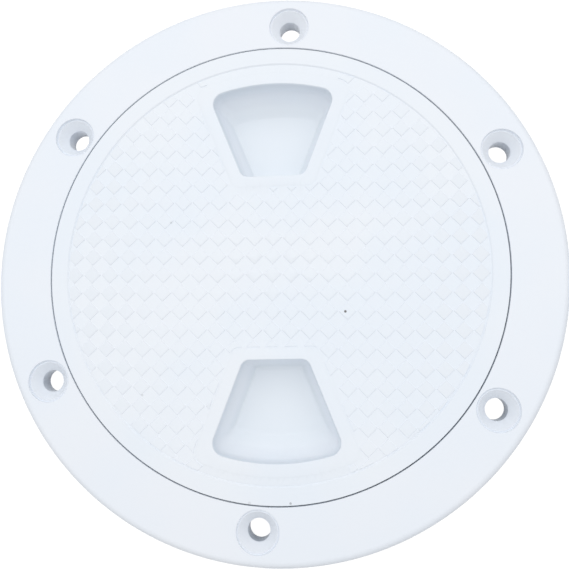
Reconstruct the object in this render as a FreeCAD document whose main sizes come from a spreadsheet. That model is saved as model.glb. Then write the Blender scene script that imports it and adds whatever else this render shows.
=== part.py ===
"""Screw-out deck inspection plate: deck ring, threaded cover and the seal between them.

Millimetres, +Z up. The origin is on the ring's axis, in the plane of the deck face
(the underside of the ring's flange). The cover lies screwed home.
"""

import FreeCAD, Part

import math
import os
import re

import Sketcher

DOC = FreeCAD.newDocument("deck_plate")
ORIGIN = FreeCAD.Vector(0, 0, 0)
Z_UP = FreeCAD.Vector(0, 0, 1)

# Dimensions
# One row each: the alias, the value, what it is. A value that starts with = follows from
# others, so the whole plate grows or shrinks with the radius of the cover's skirt.

SIZES = [
    ("skirt_radius", 51.2, "outer radius of the cover's skirt, which sets the plate's size"),
    ("rim_width", 5.1, "how far the cover's rim stands out from the skirt"),
    ("rim_gap", 0.3, "gap round the cover's rim"),
    ("flange_width", 13.4, "width of the flange round the cover"),
    ("cover_radius", "=skirt_radius + rim_width", "outer radius of the cover"),
    ("flange_radius", "=cover_radius + rim_gap + flange_width", "outer radius of the flange"),
    ("flange_height", 6.9, "flange thickness above the deck"),
    ("flange_edge_chamfer", 1.2, "broken outer top edge of the flange"),
    ("core_depth", 3.6, "depth of the hollow under the flange"),
    ("core_outer_wall", 2.8, "wall left outside the hollow"),
    ("core_inner_wall", 2.2, "wall left between the collar and the hollow"),
    ("screw_count", 6, "number of fixing screws"),
    ("screw_edge_distance", 7.7, "from the screws' axes to the flange's edge"),
    ("screw_circle_radius", "=flange_radius - screw_edge_distance", "radius of the screw circle"),
    ("screw_first_angle", 26.64, "direction of the first screw hole, degrees"),
    ("screw_hole_radius", 2.65, "clearance hole of a 4.8 mm screw"),
    ("countersink_radius", 5.05, "countersink at the flange's top face"),
    ("countersink_angle", 82.0, "full angle of the countersink, degrees"),
    ("boss_radius", 6.0, "boss round each screw hole, under the flange"),
    ("rib_thickness", 2.0, "ribs under the flange and the cover"),
    ("collar_length", 18.0, "collar below the deck face"),
    ("collar_wall", 2.5, "wall of the collar"),
    ("collar_chamfer", 0.8, "lead-in on the collar's lower outer edge"),
    ("seat_edge_chamfer", 0.35, "broken edge round the cover's seat"),
    ("cover_rim_height", 3.2, "thickness of the cover's rim, which presses on the seal"),
    ("cover_web", 3.0, "thickness of the cover's top"),
    ("cover_edge_chamfer", 0.35, "broken outer top edge of the cover"),
    ("cover_angle", 0.85, "where the cover comes to rest when screwed home, degrees"),
    ("skirt_wall", 2.4, "wall of the skirt"),
    ("skirt_length", 12.5, "skirt below the deck face"),
    ("thread_lead", 8.0, "rise in one turn"),
    ("thread_starts", 2, "threads side by side"),
    ("thread_depth", 1.8, "height of a thread over its root"),
    ("thread_root_width", 1.8, "width of a thread at its root"),
    ("thread_crest_width", 1.0, "width of a thread at its crest"),
    ("thread_gap", 0.3, "radial clearance between crest and root"),
    ("cover_thread_turns", 1.1, "length of each thread on the skirt"),
    ("cover_thread_start", 10.7, "lower end of the skirt's thread below the deck face"),
    ("collar_thread_turns", 1.25, "length of each thread in the collar"),
    ("seal_thickness", 1.6, "thickness of the flat seal"),
    ("seal_setback", 0.3, "how far the seal's edge lies inside the rim's edge"),
    ("seal_radius", "=cover_radius - seal_setback", "outer radius of the seal"),
    ("seal_gap", 0.15, "gap between the seal and the skirt it sits on"),
    ("grip_inner", 22.7, "straight inner edge of a finger recess, from the axis"),
    ("grip_setback", 4.3, "from a recess's outer edge to the skirt's outside"),
    ("grip_outer_radius", "=skirt_radius - grip_setback", "curved outer edge of a recess"),
    ("grip_half_width", 7.8, "half the width of a recess at its inner edge"),
    ("grip_side_angle", 21.5, "how far each side turns from the recess's own axis, degrees"),
    ("grip_depth", 9.2, "depth of a finger recess"),
    ("grip_draft", 10.0, "slope of the side walls and the inner wall of a recess, degrees"),
    ("grip_outer_draft", 30.0, "slope of the curved wall that the fingers pull on, degrees"),
    ("grip_wall", 2.0, "wall and floor round a recess"),
    ("cup_draft", 8.0, "slope of the outside of that wall, degrees"),
    ("grip_inner_corner", 2.4, "corner radius at the inner edge"),
    ("grip_outer_corner", 3.2, "corner radius at the outer edge"),
    ("grip_floor_round", 1.5, "round between the walls and the floor"),
    ("grip_rim_chamfer", 0.35, "broken rim of the recess"),
    ("cup_corner", 4.0, "corner radius outside the recess walls"),
    ("cover_rib_depth", 5.0, "ribs below the cover's top"),
    ("tread_margin", 4.0, "width of the plain rim round the tread"),
    ("tread_radius", "=cover_radius - tread_margin", "edge of the tread"),
    ("tread_border", 2.9, "plain border round each recess"),
    ("tread_channel", 0.6, "sunk line between the squares and the rim or a border"),
    ("tread_pitch", 4.537, "diagonal of one square of the tread"),
    ("tread_depth", 0.3, "how far the squares stand above the sunk ground"),
    ("tread_land", 0.3, "how far each square's corners stop short of the next square"),
    ("tread_angle", -1.2, "turn of the tread against the recesses, degrees"),
    ("tread_shift_x", -0.3, "centre of one raised square, across"),
    ("tread_shift_y", 2.5, "centre of one raised square, along"),
]

sheet = DOC.addObject("Spreadsheet::Sheet", "Dimensions")
for row, (alias, value, meaning) in enumerate(SIZES, start=1):
    sheet.set(f"A{row}", meaning)
    sheet.set(f"B{row}", str(value))
    sheet.setAlias(f"B{row}", alias)
DOC.recompute()

NAMES = {alias for alias, value, meaning in SIZES}

# Sizes that follow from others, written once, as text in terms of the sheet's names

SEAT_RADIUS = "(cover_radius + rim_gap)"
RIM_UNDERSIDE = "(flange_height - cover_rim_height)"
LEDGE = f"({RIM_UNDERSIDE} - seal_thickness)"
COLLAR_INNER = "(skirt_radius + thread_depth + thread_gap)"
COLLAR_OUTER = f"({COLLAR_INNER} + collar_wall)"
CORE_INNER = f"({COLLAR_OUTER} + core_inner_wall)"
CORE_OUTER = "(flange_radius - core_outer_wall)"
SKIRT_INNER = "(skirt_radius - skirt_wall)"
COVER_UNDERSIDE = "(flange_height - cover_web)"
THREAD_STEP = "(thread_lead / thread_starts)"
CUP_HALF_WIDTH = "(grip_half_width + grip_wall * (1 / cos(grip_side_angle) - tan(grip_side_angle)))"


def bound(text):
    """The same expression with every size looked up in the sheet, angles in degrees."""
    text = re.sub(r"\b(grip_side_angle)\b", r"\1 * 1deg", text)
    return re.sub(r"\b[a-z_]+\b", lambda m: f"Dimensions.{m[0]}" if m[0] in NAMES else m[0], text)


def number(text):
    """The present value of an expression."""
    value = sheet.evalExpression(bound(str(text)))
    return float(getattr(value, "Value", value))


def tie(obj, **properties):
    """Bind properties of an object to expressions of the sheet."""
    for name, text in properties.items():
        obj.setExpression(name, bound(str(text)))


# Helpers for bodies and sketches


def new_body(label):
    body = DOC.addObject("PartDesign::Body", label)
    body.Label = label
    return body


def origin_part(body, role):
    return next(f for f in body.Origin.OriginFeatures if f.Role == role)


def new_sketch(body, name, role, height=None):
    """A sketch on one of the body's own origin planes, raised along its normal."""
    sketch = body.newObject("Sketcher::SketchObject", name)
    sketch.AttachmentSupport = [(origin_part(body, role), "")]
    sketch.MapMode = "FlatFace"
    if height is not None:
        sketch.setExpression(".AttachmentOffset.Base.z", bound(height))
    return sketch


def pin_point(sketch, edge, end, across, up):
    """Hold one end of an edge at a distance from the origin in both directions."""
    for kind, text in (("DistanceX", across), ("DistanceY", up)):
        value = number(text)
        if abs(value) < 1e-9:
            line = -2 if kind == "DistanceX" else -1
            sketch.addConstraint(Sketcher.Constraint("PointOnObject", edge, end, line))
            continue
        index = sketch.addConstraint(Sketcher.Constraint(kind, -1, 1, edge, end, value))
        sketch.setExpression(f"Constraints[{index}]", bound(str(text)))


def polygon(sketch, corners):
    """A closed outline of straight lines through corners given as expressions."""
    points = [FreeCAD.Vector(number(x), number(y), 0) for x, y in corners]
    first = sketch.GeometryCount
    count = len(points)
    for i in range(count):
        sketch.addGeometry(Part.LineSegment(points[i], points[(i + 1) % count]))
    for i in range(count):
        sketch.addConstraint(
            Sketcher.Constraint("Coincident", first + i, 2, first + (i + 1) % count, 1)
        )
        pin_point(sketch, first + i, 1, *corners[i])


def circle(sketch, across, up, radius):
    centre = FreeCAD.Vector(number(across), number(up), 0)
    index = sketch.addGeometry(Part.Circle(centre, Z_UP, number(radius)))
    if across == up == "0":
        sketch.addConstraint(Sketcher.Constraint("Coincident", index, 3, -1, 1))
    else:
        pin_point(sketch, index, 3, across, up)
    size = sketch.addConstraint(Sketcher.Constraint("Radius", index, number(radius)))
    sketch.setExpression(f"Constraints[{size}]", bound(radius))


def fan(sketch, inner, half_width, outer_radius):
    """A recess outline: straight inner edge, two spreading sides, outer arc about the axis."""
    tangent = math.tan(math.radians(number("grip_side_angle")))
    y_in, w_in, r_out = number(inner), number(half_width), number(outer_radius)
    offset = w_in - tangent * y_in
    a, b, c = 1 + tangent**2, 2 * tangent * offset, offset**2 - r_out**2
    y_out = (-b + math.sqrt(b * b - 4 * a * c)) / (2 * a)
    x_out = offset + tangent * y_out
    corners = [(-w_in, y_in), (w_in, y_in), (x_out, y_out), (-x_out, y_out)]
    points = [FreeCAD.Vector(x, y, 0) for x, y in corners]
    for p, q in ((0, 1), (1, 2), (3, 0)):
        sketch.addGeometry(Part.LineSegment(points[p], points[q]))
    start = math.atan2(y_out, x_out)
    sketch.addGeometry(Part.ArcOfCircle(Part.Circle(ORIGIN, Z_UP, r_out), start, math.pi - start))
    for one, one_end, other, other_end in ((0, 2, 1, 1), (2, 2, 0, 1), (1, 2, 3, 1), (3, 2, 2, 1)):
        sketch.addConstraint(Sketcher.Constraint("Coincident", one, one_end, other, other_end))
    sketch.addConstraint(Sketcher.Constraint("Coincident", 3, 3, -1, 1))
    sketch.addConstraint(Sketcher.Constraint("Symmetric", 0, 1, 0, 2, -2))
    sketch.addConstraint(Sketcher.Constraint("Equal", 1, 2))
    width = sketch.addConstraint(Sketcher.Constraint("DistanceX", 0, 1, 0, 2, 2 * w_in))
    place = sketch.addConstraint(Sketcher.Constraint("DistanceY", -1, 1, 0, 1, y_in))
    arc = sketch.addConstraint(Sketcher.Constraint("Radius", 3, r_out))
    turn = sketch.addConstraint(Sketcher.Constraint("Angle", 1, 1, -2, 1, math.atan(tangent)))
    sketch.setExpression(f"Constraints[{width}]", bound(f"2 * {half_width}"))
    sketch.setExpression(f"Constraints[{place}]", bound(inner))
    sketch.setExpression(f"Constraints[{arc}]", bound(outer_radius))
    sketch.setExpression(f"Constraints[{turn}]", bound("grip_side_angle"))


def polar(body, name, feature, count):
    """Repeat a feature evenly round the axis."""
    pattern = body.newObject("PartDesign::PolarPattern", name)
    pattern.Originals = [feature]
    pattern.Axis = (origin_part(body, "Z_Axis"), [""])
    pattern.Angle = 360
    tie(pattern, Occurrences=count)
    body.Tip = pattern
    DOC.recompute()
    return pattern


def dress(body, kind, name, chosen, size):
    """A fillet or chamfer on the edges of the body's shape that the test picks."""
    base = body.Tip
    edges = [f"Edge{i}" for i, edge in enumerate(base.Shape.Edges, start=1) if chosen(edge)]
    feature = body.newObject(f"PartDesign::{kind}", name)
    feature.Base = (base, edges)
    tie(feature, **{"Radius" if kind == "Fillet" else "Size": size})
    body.Tip = feature
    DOC.recompute()
    return feature


def ring_edge(radius, height):
    """A test for the full circle of one radius at one height."""
    radius, height = number(radius), number(height)

    def chosen(edge):
        curve = edge.Curve
        if not isinstance(curve, Part.Circle) or abs(curve.Axis.z) < 0.999:
            return False
        return (
            abs(curve.Radius - radius) < 1e-4
            and abs(curve.Center.z - height) < 1e-4
            and math.hypot(curve.Center.x, curve.Center.y) < 1e-4
        )

    return chosen


def thread(body, name, root_radius, outwards, height, turns):
    """Trapezoid threads wound up the body's axis, their roots sunk into the wall."""
    side = "+" if outwards else "-"
    back = "-" if outwards else "+"
    sketch = new_sketch(body, f"{name}_section", "XZ_Plane")
    root = f"{root_radius} {back} thread_gap"
    crest = f"{root_radius} {side} thread_depth"
    polygon(
        sketch,
        [
            (root, f"{height} - thread_root_width / 2"),
            (crest, f"{height} - thread_crest_width / 2"),
            (crest, f"{height} + thread_crest_width / 2"),
            (root, f"{height} + thread_root_width / 2"),
        ],
    )
    DOC.recompute()
    helix = body.newObject("PartDesign::AdditiveHelix", name)
    helix.Profile = sketch
    helix.ReferenceAxis = (origin_part(body, "Z_Axis"), [""])
    helix.Mode = "pitch-turns-angle"
    helix.LeftHanded = False
    helix.Reversed = False
    tie(helix, Pitch="thread_lead", Turns=turns)
    body.Tip = helix
    DOC.recompute()
    return polar(body, f"{name}s", helix, "thread_starts")


# Deck ring
# One moulding: a flat flange that lies on the deck, a ledge for the seal and the cover's rim,
# and a collar with the inside thread that hangs through the deck.

ring = new_body("deck_ring")

section = new_sketch(ring, "ring_section", "XZ_Plane")
polygon(
    section,
    [
        (COLLAR_OUTER, "0"),
        ("flange_radius", "0"),
        ("flange_radius", "flange_height"),
        (SEAT_RADIUS, "flange_height"),
        (SEAT_RADIUS, LEDGE),
        (COLLAR_INNER, LEDGE),
        (COLLAR_INNER, "-collar_length"),
        (COLLAR_OUTER, "-collar_length"),
    ],
)
turned = ring.newObject("PartDesign::Revolution", "ring_turned")
turned.Profile = section
turned.ReferenceAxis = (origin_part(ring, "Z_Axis"), [""])
turned.Angle = 360
ring.Tip = turned
DOC.recompute()

# The flange is hollow underneath, between its outer wall and the collar.
core_section = new_sketch(ring, "core_section", "XZ_Plane")
polygon(
    core_section,
    [
        (CORE_INNER, "0"),
        (CORE_OUTER, "0"),
        (CORE_OUTER, "core_depth"),
        (CORE_INNER, "core_depth"),
    ],
)
core = ring.newObject("PartDesign::Groove", "flange_core")
core.Profile = core_section
core.ReferenceAxis = (origin_part(ring, "Z_Axis"), [""])
core.Angle = 360
ring.Tip = core
DOC.recompute()

# A boss carries each screw, and a rib stands halfway between two bosses.
boss_sketch = new_sketch(ring, "boss_outline", "XY_Plane")
boss_x = "screw_circle_radius * cos(screw_first_angle * 1deg)"
boss_y = "screw_circle_radius * sin(screw_first_angle * 1deg)"
circle(boss_sketch, boss_x, boss_y, "boss_radius")
boss = ring.newObject("PartDesign::Pad", "boss")
boss.Profile = boss_sketch
tie(boss, Length="core_depth + 0.2")
ring.Tip = boss
DOC.recompute()
polar(ring, "bosses", boss, "screw_count")

rib_sketch = new_sketch(ring, "rib_outline", "XY_Plane")
rib_sketch.setExpression(
    ".AttachmentOffset.Rotation.Angle",
    bound("(screw_first_angle + 180 / screw_count) * 1deg"),
)
polygon(
    rib_sketch,
    [
        (f"{CORE_INNER} - 0.5", "-rib_thickness / 2"),
        (f"{CORE_OUTER} + 0.5", "-rib_thickness / 2"),
        (f"{CORE_OUTER} + 0.5", "rib_thickness / 2"),
        (f"{CORE_INNER} - 0.5", "rib_thickness / 2"),
    ],
)
rib = ring.newObject("PartDesign::Pad", "rib")
rib.Profile = rib_sketch
tie(rib, Length="core_depth + 0.2")
ring.Tip = rib
DOC.recompute()
polar(ring, "ribs", rib, "screw_count")

# Countersunk holes right through flange and bosses.
hole_sketch = new_sketch(ring, "hole_centre", "XY_Plane", "flange_height")
circle(hole_sketch, boss_x, boss_y, "screw_hole_radius")
DOC.recompute()
hole = ring.newObject("PartDesign::Hole", "screw_hole")
hole.Profile = hole_sketch
DOC.recompute()
hole.DepthType = "ThroughAll"
hole.Threaded = False
hole.HoleCutType = "Countersink"
hole.HoleCutCustomValues = True
tie(
    hole,
    Diameter="2 * screw_hole_radius",
    HoleCutDiameter="2 * countersink_radius",
    HoleCutCountersinkAngle="countersink_angle",
)
ring.Tip = hole
DOC.recompute()
polar(ring, "screw_holes", hole, "screw_count")

for name, radius, height, size in (
    ("flange_edge", "flange_radius", "flange_height", "flange_edge_chamfer"),
    ("seat_edge", SEAT_RADIUS, "flange_height", "seat_edge_chamfer"),
    ("collar_edge", COLLAR_OUTER, "-collar_length", "collar_chamfer"),
):
    dress(ring, "Chamfer", name, ring_edge(radius, height), size)

# The collar's threads lie halfway between those of the cover.
thread(
    ring,
    "collar_thread",
    COLLAR_INNER,
    False,
    f"(-cover_thread_start - {THREAD_STEP} / 2)",
    "collar_thread_turns",
)

# Cover
# One moulding: a disc whose rim presses on the seal, a skirt with the outside thread,
# and two deep recesses for the fingers, closed by cups below.

cover_body = new_body("cover_blank")

cover_section = new_sketch(cover_body, "cover_section", "XZ_Plane")
polygon(
    cover_section,
    [
        ("0", COVER_UNDERSIDE),
        (SKIRT_INNER, COVER_UNDERSIDE),
        (SKIRT_INNER, "-skirt_length"),
        ("skirt_radius", "-skirt_length"),
        ("skirt_radius", RIM_UNDERSIDE),
        ("cover_radius", RIM_UNDERSIDE),
        ("cover_radius", "flange_height"),
        ("0", "flange_height"),
    ],
)
disc = cover_body.newObject("PartDesign::Revolution", "cover_turned")
disc.Profile = cover_section
disc.ReferenceAxis = (origin_part(cover_body, "Z_Axis"), [""])
disc.Angle = 360
cover_body.Tip = disc
DOC.recompute()
dress(
    cover_body,
    "Chamfer",
    "cover_edge",
    ring_edge("cover_radius", "flange_height"),
    "cover_edge_chamfer",
)


def height_range(edge):
    heights = [v.Z for v in edge.Vertexes]
    return min(heights), max(heights)


def plug(name, outline, top, length, slope, turned, curved_slope=None):
    """A drafted form in a body of its own: straight sides first, then their slopes."""
    body = new_body(name)
    sketch = new_sketch(body, f"{name}_outline", "XY_Plane", top)
    if turned:
        sketch.setExpression(".AttachmentOffset.Rotation.Angle", "180 deg")
    fan(sketch, *outline)
    pad = body.newObject("PartDesign::Pad", f"{name}_block")
    pad.Profile = sketch
    pad.Reversed = True
    tie(pad, Length=length)
    body.Tip = pad
    DOC.recompute()
    deep = number(length)
    slopes = [("sides", slope, False), ("curve", curved_slope or slope, True)]
    for part_name, angle, curved in slopes:
        base = body.Tip
        faces = list(enumerate(base.Shape.Faces, start=1))
        walls = [
            f"Face{i}"
            for i, face in faces
            if face.BoundBox.ZLength > deep / 2 and isinstance(face.Surface, Part.Cylinder) == curved
        ]
        lid = [f"Face{i}" for i, face in faces if face.BoundBox.ZMin > number(top) - deep / 2]
        draft = body.newObject("PartDesign::Draft", f"{name}_{part_name}")
        draft.Base = (base, walls)
        draft.NeutralPlane = (base, lid)
        draft.Reversed = True
        tie(draft, Angle=angle)
        body.Tip = draft
        DOC.recompute()
    return body


def slanted_corner(inner):
    """A test for the steep corner edges on the inner or the outer side of a plug."""
    middle = (number("grip_inner") + number("grip_outer_radius")) / 2

    def chosen(edge):
        low, high = height_range(edge)
        return high - low > 5 and (abs(edge.Vertexes[0].Y) < middle) == inner

    return chosen


def join(body, name, kind, tools):
    """Add other bodies to this one, or cut them from it."""
    joined = body.newObject("PartDesign::Boolean", name)
    joined.Type = kind
    joined.setObjects(tools)
    body.Tip = joined
    DOC.recompute()
    return joined


# Cups: an even wall round each recess. Their curved side leaves the skirt's inside on its way down.
CUP = ("grip_inner - grip_wall", CUP_HALF_WIDTH, "skirt_radius - skirt_wall / 2")
cups = []
for name, turned in (("cup_front", False), ("cup_back", True)):
    length = "grip_depth + grip_wall - 0.5"
    cup = plug(name, CUP, "flange_height - 0.5", length, "cup_draft", turned, "grip_outer_draft")
    dress(cup, "Fillet", f"{name}_inner", slanted_corner(True), "cup_corner")
    dress(cup, "Fillet", f"{name}_outer", slanted_corner(False), "cup_corner")
    cups.append(cup)
join(cover_body, "cups", "Fuse", cups)

# A cross of ribs stiffens the top between the cups.
long_rib = new_sketch(cover_body, "long_rib_outline", "XY_Plane", COVER_UNDERSIDE)
polygon(
    long_rib,
    [
        (f"-({SKIRT_INNER} + 0.5)", "-rib_thickness / 2"),
        (f"{SKIRT_INNER} + 0.5", "-rib_thickness / 2"),
        (f"{SKIRT_INNER} + 0.5", "rib_thickness / 2"),
        (f"-({SKIRT_INNER} + 0.5)", "rib_thickness / 2"),
    ],
)
long_pad = cover_body.newObject("PartDesign::Pad", "long_rib")
long_pad.Profile = long_rib
long_pad.Reversed = True
tie(long_pad, Length="cover_rib_depth")
cover_body.Tip = long_pad
DOC.recompute()

short_rib = new_sketch(cover_body, "short_rib_outline", "XY_Plane", COVER_UNDERSIDE)
polygon(
    short_rib,
    [
        ("-rib_thickness / 2", "-(grip_inner + 0.6)"),
        ("rib_thickness / 2", "-(grip_inner + 0.6)"),
        ("rib_thickness / 2", "grip_inner + 0.6"),
        ("-rib_thickness / 2", "grip_inner + 0.6"),
    ],
)
short_pad = cover_body.newObject("PartDesign::Pad", "short_rib")
short_pad.Profile = short_rib
short_pad.Reversed = True
tie(short_pad, Length="cover_rib_depth")
cover_body.Tip = short_pad
DOC.recompute()

# Recesses: corners and floor are rounded on the form, the rim is broken on the cover.
RECESS = ("grip_inner", "grip_half_width", "grip_outer_radius")
top = number("flange_height")
floor = number("flange_height - grip_depth")


def floor_edge(edge):
    return height_range(edge)[1] < floor + 1e-3


def rim_edge(edge):
    """Edges in the cover's top face round a recess."""
    steps = (edge.FirstParameter, sum(edge.ParameterRange) / 2, edge.LastParameter)
    reach, inner = number("grip_outer_radius") + 0.5, number("grip_inner") - 0.5
    return all(
        abs(p.z - top) < 1e-3 and abs(p.y) > inner and math.hypot(p.x, p.y) < reach
        for p in map(edge.valueAt, steps)
    )


recesses = []
for name, turned in (("recess_front", False), ("recess_back", True)):
    recess = plug(
        name, RECESS, "flange_height", "grip_depth", "grip_draft", turned, "grip_outer_draft"
    )
    dress(recess, "Fillet", f"{name}_inner", slanted_corner(True), "grip_inner_corner")
    dress(recess, "Fillet", f"{name}_outer", slanted_corner(False), "grip_outer_corner")
    dress(recess, "Fillet", f"{name}_floor", floor_edge, "grip_floor_round")
    recesses.append(recess)
join(cover_body, "recesses", "Cut", recesses)
dress(cover_body, "Chamfer", "recess_rims", rim_edge, "grip_rim_chamfer")

thread(
    cover_body,
    "skirt_thread",
    "skirt_radius",
    True,
    "(-cover_thread_start)",
    "cover_thread_turns",
)

# Tread
# A chequered relief: squares that stand on a corner rise from a sunk ground, level with the
# plain rim and the border of each recess, and never quite touch each other or the border.

pitch = number("tread_pitch")
half = pitch / 2 - number("tread_land")
turn = FreeCAD.Rotation(Z_UP, number("tread_angle"))
shift = FreeCAD.Vector(number("tread_shift_x"), number("tread_shift_y"), 0)
grip_outline = DOC.getObject("recess_front_outline")
outline = Part.Face(Part.Wire(Part.__sortEdges__(grip_outline.Shape.Edges)))
outline.translate(FreeCAD.Vector(0, 0, -top))


def ground(setback):
    """The tread's field, drawn in from the rim and from the borders of the recesses."""
    border = outline.makeOffset2D(number("tread_border") + setback)
    opposite = border.copy()
    opposite.rotate(ORIGIN, Z_UP, 180)
    disc = Part.Face(Part.Wire(Part.makeCircle(number("tread_radius") - setback)))
    return disc.cut([border, opposite])


squares = []
reach = int(number("tread_radius") / pitch) + 2
for i in range(-reach, reach + 1):
    for j in range(-reach, reach + 1):
        centre = turn.multVec(FreeCAD.Vector(i * pitch, j * pitch, 0)) + shift
        if centre.Length > number("tread_radius") + half:
            continue
        arms = [turn.multVec(FreeCAD.Vector(*arm, 0)) * half for arm in ((1, 0), (0, 1), (-1, 0), (0, -1))]
        squares.append(Part.Face(Part.makePolygon([centre + arm for arm in arms + arms[:1]])))

inside = Part.makeCompound(squares).common(ground(number("tread_channel")))
smallest = 0.3 * half * half
islands = [face for face in inside.Faces if face.Area > smallest]
sunk = ground(0).cut(Part.makeCompound(islands)).extrude(Z_UP * (number("tread_depth") + 0.5))
sunk.translate(FreeCAD.Vector(0, 0, top - number("tread_depth")))

tread = DOC.addObject("Part::Feature", "tread_ground")
tread.Shape = sunk

cover = DOC.addObject("Part::Cut", "cover")
cover.Label = "cover"
cover.Base = cover_body
cover.Tool = tread
cover.Refine = False
cover.setExpression(".Placement.Rotation.Angle", bound("cover_angle * 1deg"))
DOC.recompute()

# Seal
# A flat rubber ring on the cover's neck, pressed between the rim and the ledge.

seal = new_body("seal_ring")
seal_outline = new_sketch(seal, "seal_outline", "XY_Plane", LEDGE)
circle(seal_outline, "0", "0", "skirt_radius + seal_gap")
circle(seal_outline, "0", "0", "seal_radius")
seal_pad = seal.newObject("PartDesign::Pad", "seal_sheet")
seal_pad.Profile = seal_outline
tie(seal_pad, Length="seal_thickness")
seal.Tip = seal_pad
DOC.recompute()

# Check and write

NODES = [ring, cover, seal]

failed = [f"{o.Name}: {o.State}" for o in DOC.Objects if {"Invalid", "Error"} & set(o.State)]
if failed:
    raise RuntimeError("not computed: " + "; ".join(failed))
for node in NODES:
    shape = node.Shape
    if shape.isNull() or not shape.isValid() or len(shape.Solids) != 1:
        raise RuntimeError(f"{node.Label}: not one valid solid")

os.makedirs("parts", exist_ok=True)
for node in NODES:
    node.Shape.exportStep(f"parts/{node.Label}.step")
    box = node.Shape.optimalBoundingBox(False)
    print(
        f"{node.Label}: {node.Shape.Volume / 1000:.2f} cm3, {len(node.Shape.Faces)} faces, "
        f"x {box.XMin:.2f} to {box.XMax:.2f}, y {box.YMin:.2f} to {box.YMax:.2f}, "
        f"z {box.ZMin:.2f} to {box.ZMax:.2f}"
    )
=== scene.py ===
# %% [markdown]
# # A screw-out deck plate
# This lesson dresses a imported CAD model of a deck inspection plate: a fixed ring with six
# countersunk screw holes, a cover that screws into it, and a rubber seal between them.
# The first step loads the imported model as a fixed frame. Everything that follows is placed
# in that frame, so nothing has to be fitted by eye.

import math

import bmesh
import bpy
import numpy as np
from mathutils import Matrix, Vector


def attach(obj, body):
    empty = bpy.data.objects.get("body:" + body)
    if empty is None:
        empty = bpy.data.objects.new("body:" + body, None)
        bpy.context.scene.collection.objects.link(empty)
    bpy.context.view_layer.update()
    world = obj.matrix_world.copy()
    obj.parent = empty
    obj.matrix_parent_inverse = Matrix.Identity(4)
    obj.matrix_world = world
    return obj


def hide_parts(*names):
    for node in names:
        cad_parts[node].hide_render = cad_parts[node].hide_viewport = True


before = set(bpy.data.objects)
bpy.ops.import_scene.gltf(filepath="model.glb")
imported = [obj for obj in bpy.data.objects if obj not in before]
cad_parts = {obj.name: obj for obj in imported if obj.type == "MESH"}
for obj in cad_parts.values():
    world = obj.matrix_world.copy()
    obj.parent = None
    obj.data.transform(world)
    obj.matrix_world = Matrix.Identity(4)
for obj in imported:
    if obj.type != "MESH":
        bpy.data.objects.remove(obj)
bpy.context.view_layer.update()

# %% [markdown]
# Blender keeps data, such as a mesh or a lamp, apart from the object that shows it. This
# helper makes the object and links it to the scene.

# %% Objects
def add_object(name, data):
    """A new object in the scene that shows some data."""
    made = bpy.data.objects.new(name, data)
    bpy.context.scene.collection.objects.link(made)
    return made


# %% [markdown]
# ## Camera
# The picture looks almost straight down, from a little right of and below the middle. The
# numbers come from fitting a pinhole camera to the round outlines and the six screw holes.
# A small lens shift keeps the plate in the middle although the camera is tilted.

# %% Camera
camera_data = bpy.data.cameras.new("camera")
camera_data.lens = 39.87
camera_data.sensor_width = 36.0
camera_data.shift_x = -0.0121
camera_data.shift_y = -0.0364
camera_data.clip_start = 0.005
camera = add_object("camera", camera_data)
camera.location = (0.01742, -0.0217, 0.15836)
camera.rotation_euler = (math.radians(8.26), math.radians(4.98), math.radians(-0.06))
bpy.context.scene.camera = camera
print("camera at", tuple(camera.location), "lens", camera_data.lens)

# %% [markdown]
# ## Node graphs as sums
# Long chains of Math nodes are hard to read. One small class wraps a socket and gives it
# Python's own operators, so `1 - mask * 0.3` adds the nodes by itself. Every other node
# comes from one method: its type, its settings, then the values or links of its sockets.

# %% Sockets and graphs
class Wire:
    """The output of a node, which can be used in a sum."""

    def __init__(self, graph, socket):
        self.graph, self.socket = graph, socket

    def sum(self, operation, one, other):
        return self.graph.node("ShaderNodeMath", {"operation": operation}, {0: one, 1: other})

    def __add__(self, other):
        return self.sum("ADD", self, other)

    def __radd__(self, other):
        return self.sum("ADD", other, self)

    def __sub__(self, other):
        return self.sum("SUBTRACT", self, other)

    def __rsub__(self, other):
        return self.sum("SUBTRACT", other, self)

    def __mul__(self, other):
        return self.sum("MULTIPLY", self, other)

    def __rmul__(self, other):
        return self.sum("MULTIPLY", other, self)

    def __truediv__(self, other):
        return self.sum("DIVIDE", self, other)


class Graph:
    """A node tree that is written from Python."""

    def __init__(self, tree):
        self.tree = tree
        tree.nodes.clear()

    def node(self, kind, settings=None, sockets=None, output=0):
        made = self.tree.nodes.new(kind)
        for name, value in (settings or {}).items():
            setattr(made, name, value)
        for name, value in (sockets or {}).items():
            if isinstance(value, Wire):
                self.tree.links.new(value.socket, made.inputs[name])
            else:
                made.inputs[name].default_value = value
        return Wire(self, made.outputs[output]) if made.outputs else made


def ramp(graph, value, low, high):
    """0 below low, 1 above high, a smooth step between them."""
    settings = {"interpolation_type": "SMOOTHSTEP"}
    sockets = {"Value": value, "From Min": low, "From Max": high}
    return graph.node("ShaderNodeMapRange", settings, sockets)


def blend(graph, factor, one, other):
    """The first colour where the factor is 0, the other where it is 1."""
    sockets = {0: factor, 6: one, 7: other}
    return graph.node("ShaderNodeMix", {"data_type": "RGBA"}, sockets, output=2)


# %% [markdown]
# ## Floor, world and lamps
# The plate stands on a plain white floor with its collar. The photograph's background is pure
# white, but more light on the object would burn it out. So the floor's own glow is seen only
# by the camera and in reflections, and its diffuse part still takes the object's shadow.

# %% Floor
FLOOR_HEIGHT = -0.018
FLOOR_REACH = 3.0
WHITE = (1, 1, 1, 1)
FLOOR_FOR_LIGHT = (0.18, 0.18, 0.18, 1)
FLOOR_FOR_EYES = (0.25, 0.25, 0.25, 1)
GLOW_FOR_EYES = 0.92


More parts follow.
